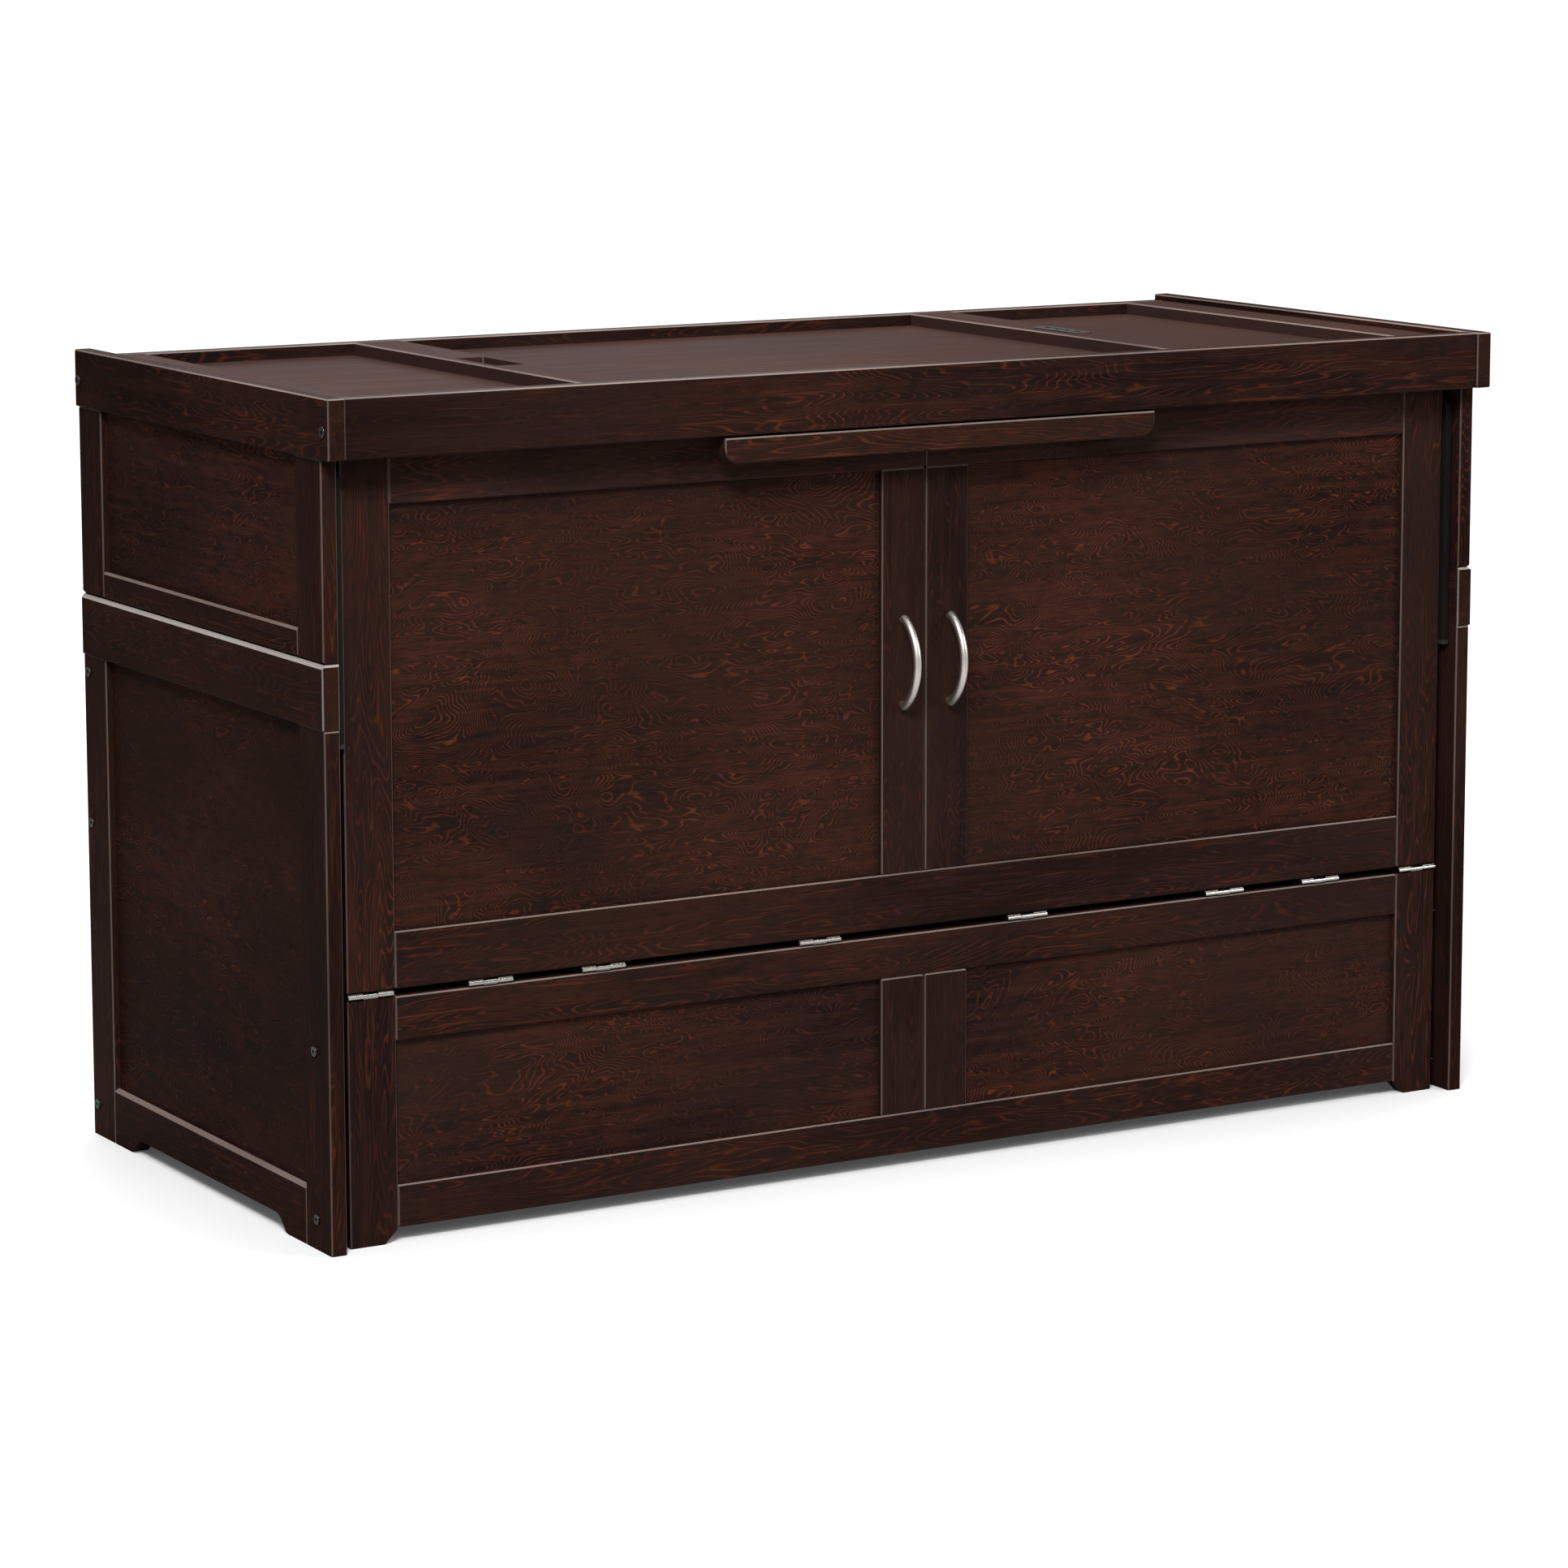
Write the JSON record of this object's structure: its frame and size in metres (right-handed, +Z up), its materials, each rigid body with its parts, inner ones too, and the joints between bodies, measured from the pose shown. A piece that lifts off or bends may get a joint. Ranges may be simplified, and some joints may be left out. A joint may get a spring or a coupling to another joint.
{
  "type": "murphy wall bed",
  "caption": "Closed cabinet bed with a hinged tray-top lid, slide-out base, fold-down front, drop legs and a folding mattress on slats.",
  "frame": {"origin": "on the floor, at the middle of the closed object's box", "axes": "+X to the right seen from the front, the front faces -Y, +Z up"},
  "size_m": [1.6532, 0.74, 1],
  "materials": {
    "dark_wood": "satin dark espresso cherry stain",
    "tray_wood": "satin dark stain, lighter under top light",
    "plain_pine": "planed pine",
    "back_board": "stained board",
    "brushed_nickel": "brushed nickel",
    "hinge_steel": "nickel-plated steel",
    "steel_fixings": "dark plated steel",
    "black_steel": "black powder coat",
    "black_plastic": "matte",
    "rubber_pads": "matte",
    "mattress_cover": "woven off-white cover"
  },
  "bodies": {
    "cabinet": {"back_panels": "back_board", "back_rails": "dark_wood", "cabinet_bolts": "steel_fixings", "cabinet_hinge_leaves": "hinge_steel", "deck_bearers": "plain_pine", "head_slats": "plain_pine", "left_band": "dark_wood", "left_lower_rail": "dark_wood", "left_lower_stiles": "dark_wood", "lower_side_panels": "dark_wood", "mattress_lower_section": "mattress_cover", "mattress_middle_section": "mattress_cover", "mattress_upper_section": "mattress_cover", "right_band": "dark_wood", "right_lower_rail": "dark_wood", "right_lower_stiles": "dark_wood", "upper_side_panels": "dark_wood", "upper_side_rails": "dark_wood", "upper_side_stiles": "dark_wood"},
    "lid": {"cable_grommet": "black_plastic", "lid_back_board": "dark_wood", "lid_bolts": "steel_fixings", "lid_centre_panel": "tray_wood", "lid_front_board": "dark_wood", "lid_hinge_leaves": "hinge_steel", "lid_left_board": "dark_wood", "lid_left_divider": "tray_wood", "lid_right_board": "dark_wood", "lid_right_divider": "tray_wood", "lid_side_panels": "tray_wood", "lid_side_strips": "tray_wood", "power_unit": "black_plastic"},
    "base": {"base_back_posts": "dark_wood", "base_bearers": "plain_pine", "base_bottom_rail": "dark_wood", "base_centre_stiles": "dark_wood", "base_glides": "rubber_pads", "base_hinge_leaves": "hinge_steel", "base_left_stile": "dark_wood", "base_panels": "dark_wood", "base_right_stile": "dark_wood", "base_side_rails": "dark_wood", "base_slats": "plain_pine", "base_top_rail": "dark_wood"},
    "front": {"door_pulls": "brushed_nickel", "foot_slats": "plain_pine", "front_bottom_rail": "dark_wood", "front_centre_stiles": "dark_wood", "front_hinge_leaves": "hinge_steel", "front_left_stile": "dark_wood", "front_panels": "dark_wood", "front_right_stile": "dark_wood", "front_top_rails": "dark_wood", "grip_bar": "dark_wood", "grip_bar_spacers": "dark_wood", "leg_pins": "steel_fixings"},
    "left_leg": {"left_drop_leg": "black_steel", "left_leg_pad": "rubber_pads"},
    "right_leg": {"right_drop_leg": "black_steel", "right_leg_pad": "rubber_pads"}
  },
  "joints": [
    {"name": "lid_hinge", "type": "hinge", "parent": "cabinet", "child": "lid", "pos_m": [0, 0.366, 0.9285], "axis": [-1, 0, 0], "range_deg": [0, 95]},
    {"name": "base_slide", "type": "slide", "parent": "cabinet", "child": "base", "axis": [0, -1, 0], "range_m": [0, 0.525]},
    {"name": "front_fold", "type": "hinge", "parent": "base", "child": "front", "pos_m": [0, -0.32, 0.2985], "axis": [1, 0, 0], "range_deg": [0, 90]},
    {"name": "left_leg_swing", "type": "hinge", "parent": "front", "child": "left_leg", "pos_m": [-0.7925, -0.31, 0.9], "axis": [1, 0, 0], "range_deg": [-90, 0]},
    {"name": "right_leg_swing", "type": "hinge", "parent": "front", "child": "right_leg", "pos_m": [0.7925, -0.31, 0.9], "axis": [1, 0, 0], "range_deg": [-90, 0]}
  ],
  "couplings": [
    {"joint": "left_leg_swing", "follows": "front_fold", "ratio": -1},
    {"joint": "right_leg_swing", "follows": "front_fold", "ratio": -1}
  ]
}
